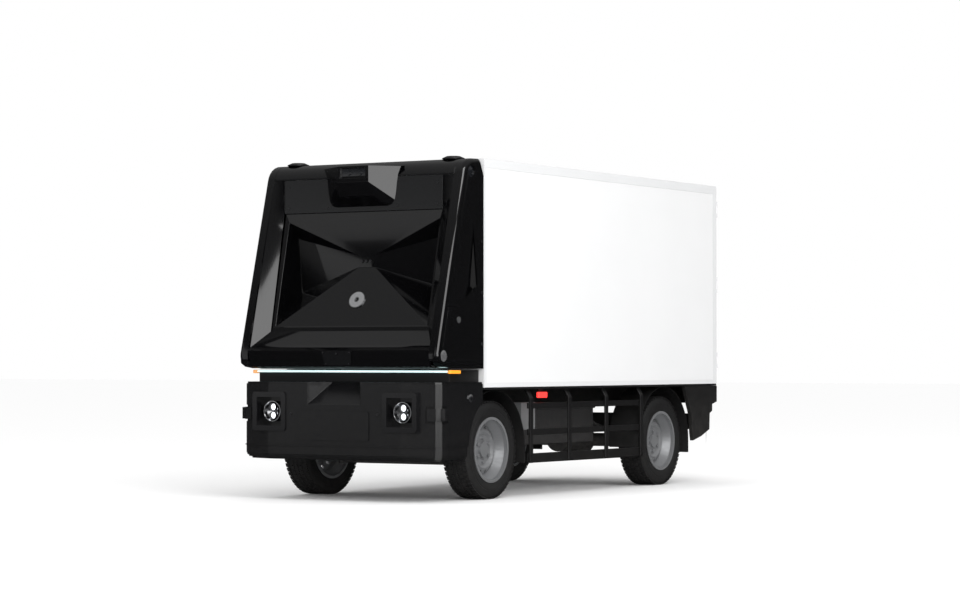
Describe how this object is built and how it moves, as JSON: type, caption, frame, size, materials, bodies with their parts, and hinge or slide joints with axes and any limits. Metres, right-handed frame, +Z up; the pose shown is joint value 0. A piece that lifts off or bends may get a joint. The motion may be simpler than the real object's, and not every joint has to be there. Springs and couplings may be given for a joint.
{
  "type": "mail delivery truck",
  "caption": "Cab-less electric box truck with a faceted black front module, white cargo box, twin rear doors, side guards and steered front wheels.",
  "frame": {"origin": "on the ground, under the middle of the overall length and width", "axes": "the front faces -Y, the left side of the vehicle is +X, +Z is up"},
  "size_m": [1.628, 4.1, 2.285],
  "materials": {
    "tyre_rubber": "matt moulded rubber",
    "rim_silver": "silver lacquer",
    "forged_steel": "black painted forging",
    "guard_black": "matt black powder coat",
    "box_white": "smooth white panel",
    "trim_white": "white coated extrusion",
    "zinc_steel": "zinc plated",
    "cab_gloss": "piano black",
    "axle_grey": "grey casting",
    "chassis_black": "black chassis paint",
    "battery_grey": "dark grey case",
    "cabinet_grey": "grey powder coat",
    "liner_plastic": "grained black",
    "lamp_red": "red lens",
    "floor_board": "phenolic faced plywood",
    "band_satin": "satin dark grey",
    "lens_glass": "dark camera glass",
    "antenna_black": "satin black",
    "light_cyan": "lit pale cyan diffuser",
    "lamp_amber": "amber lens",
    "bumper_satin": "satin dark grey moulding",
    "bezel_black": "gloss black",
    "lamp_chrome": "bright reflector",
    "badge_silver": "satin silver",
    "screw_black": "black oxide"
  },
  "bodies": {
    "chassis": {"badge": "badge_silver", "battery_pack": "battery_grey", "box_floor": "floor_board", "box_front_wall": "box_white", "box_roof": "box_white", "box_side_left": "box_white", "box_side_right": "box_white", "box_trims": "trim_white", "bumper_cover": "bumper_satin", "bumper_valance": "bumper_satin", "cab_frame": "chassis_black", "cab_roof": "cab_gloss", "cab_screws": "screw_black", "cab_side_left": "cab_gloss", "cab_side_right": "cab_gloss", "cameras": "lens_glass", "chassis_crossmembers": "chassis_black", "chassis_rails": "chassis_black", "corner_indicators": "lamp_amber", "corner_radars": "bumper_satin", "electrical_boxes": "cabinet_grey", "front_axle_beam": "forged_steel", "front_frame": "cab_gloss", "funnel_panel": "cab_gloss", "headlight_bezels": "bezel_black", "headlight_lamps": "lamp_chrome", "leaf_springs": "forged_steel", "light_bar": "light_cyan", "plate_holder": "bumper_satin", "rear_bumper": "chassis_black", "rear_door_frame": "trim_white", "rear_drive_axle": "axle_grey", "red_lamps": "lamp_red", "roof_domes": "antenna_black", "sensor_pod": "cab_gloss", "side_guard_left": "guard_black", "side_guard_right": "guard_black", "top_band": "band_satin", "tow_hatch": "cab_gloss", "waist_panel": "liner_plastic", "wheel_liners": "liner_plastic"},
    "steer_left": {"knuckle_left": "forged_steel"},
    "door_left": {"rear_door_left": "box_white"},
    "lock_left": {"door_lock_rod_left": "zinc_steel"},
    "hatch_left": {"service_hatch_left": "cab_gloss"},
    "latch_left": {"hatch_latch_left": "zinc_steel"},
    "steer_right": {"knuckle_right": "forged_steel"},
    "door_right": {"rear_door_right": "box_white"},
    "lock_right": {"door_lock_rod_right": "zinc_steel"},
    "hatch_right": {"service_hatch_right": "cab_gloss"},
    "latch_right": {"hatch_latch_right": "zinc_steel"},
    "wheel_front_left": {"tyre_front_left": "tyre_rubber", "rim_front_left": "rim_silver"},
    "wheel_front_right": {"tyre_front_right": "tyre_rubber", "rim_front_right": "rim_silver"},
    "wheel_rear_left": {"tyre_rear_left": "tyre_rubber", "rim_rear_left": "rim_silver"},
    "wheel_rear_right": {"tyre_rear_right": "tyre_rubber", "rim_rear_right": "rim_silver"},
    "track_rod": {"tie_rod": "forged_steel"}
  },
  "joints": [
    {"name": "steer_left_turn", "type": "hinge", "parent": "chassis", "child": "steer_left", "pos_m": [0.56, -1.25, 0.33], "axis": [0, 0, 1], "range_deg": [-30, 30]},
    {"name": "wheel_front_left_spin", "type": "hinge", "parent": "steer_left", "child": "wheel_front_left", "pos_m": [0.645, -1.25, 0.33], "axis": [1, 0, 0], "continuous": true},
    {"name": "wheel_rear_left_spin", "type": "hinge", "parent": "chassis", "child": "wheel_rear_left", "pos_m": [0.645, 1.191, 0.33], "axis": [1, 0, 0], "continuous": true},
    {"name": "door_left_swing", "type": "hinge", "parent": "chassis", "child": "door_left", "pos_m": [0.797, 2.012, 1.5], "axis": [0, 0, -1], "range_deg": [0, 240]},
    {"name": "lock_left_turn", "type": "hinge", "parent": "door_left", "child": "lock_left", "pos_m": [0.15, 2.024, 1.5], "axis": [0, 0, 1], "range_deg": [0, 90]},
    {"name": "hatch_left_swing", "type": "hinge", "parent": "chassis", "child": "hatch_left", "pos_m": [0.8005, -1.9675, 1.05], "axis": [0, 0, -1], "range_deg": [0, 85]},
    {"name": "latch_left_turn", "type": "hinge", "parent": "hatch_left", "child": "latch_left", "pos_m": [0.8, -1.763, 1.195], "axis": [1, 0, 0], "range_deg": [0, 90]},
    {"name": "steer_right_turn", "type": "hinge", "parent": "chassis", "child": "steer_right", "pos_m": [-0.56, -1.25, 0.33], "axis": [0, 0, 1], "range_deg": [-30, 30]},
    {"name": "wheel_front_right_spin", "type": "hinge", "parent": "steer_right", "child": "wheel_front_right", "pos_m": [-0.645, -1.25, 0.33], "axis": [1, 0, 0], "continuous": true},
    {"name": "wheel_rear_right_spin", "type": "hinge", "parent": "chassis", "child": "wheel_rear_right", "pos_m": [-0.645, 1.191, 0.33], "axis": [1, 0, 0], "continuous": true},
    {"name": "door_right_swing", "type": "hinge", "parent": "chassis", "child": "door_right", "pos_m": [-0.797, 2.012, 1.5], "axis": [0, 0, 1], "range_deg": [0, 240]},
    {"name": "lock_right_turn", "type": "hinge", "parent": "door_right", "child": "lock_right", "pos_m": [-0.15, 2.024, 1.5], "axis": [0, 0, -1], "range_deg": [0, 90]},
    {"name": "hatch_right_swing", "type": "hinge", "parent": "chassis", "child": "hatch_right", "pos_m": [-0.8005, -1.9675, 1.05], "axis": [0, 0, 1], "range_deg": [0, 85]},
    {"name": "latch_right_turn", "type": "hinge", "parent": "hatch_right", "child": "latch_right", "pos_m": [-0.8, -1.763, 1.195], "axis": [-1, 0, 0], "range_deg": [0, 90]},
    {"name": "track_rod_slide", "type": "slide", "parent": "chassis", "child": "track_rod", "axis": [1, 0, 0], "range_m": [-0.062, 0.062]}
  ],
  "couplings": [
    {"joint": "steer_right_turn", "follows": "steer_left_turn", "ratio": 1},
    {"joint": "track_rod_slide", "follows": "steer_left_turn", "m_per_rad": -0.1146}
  ]
}
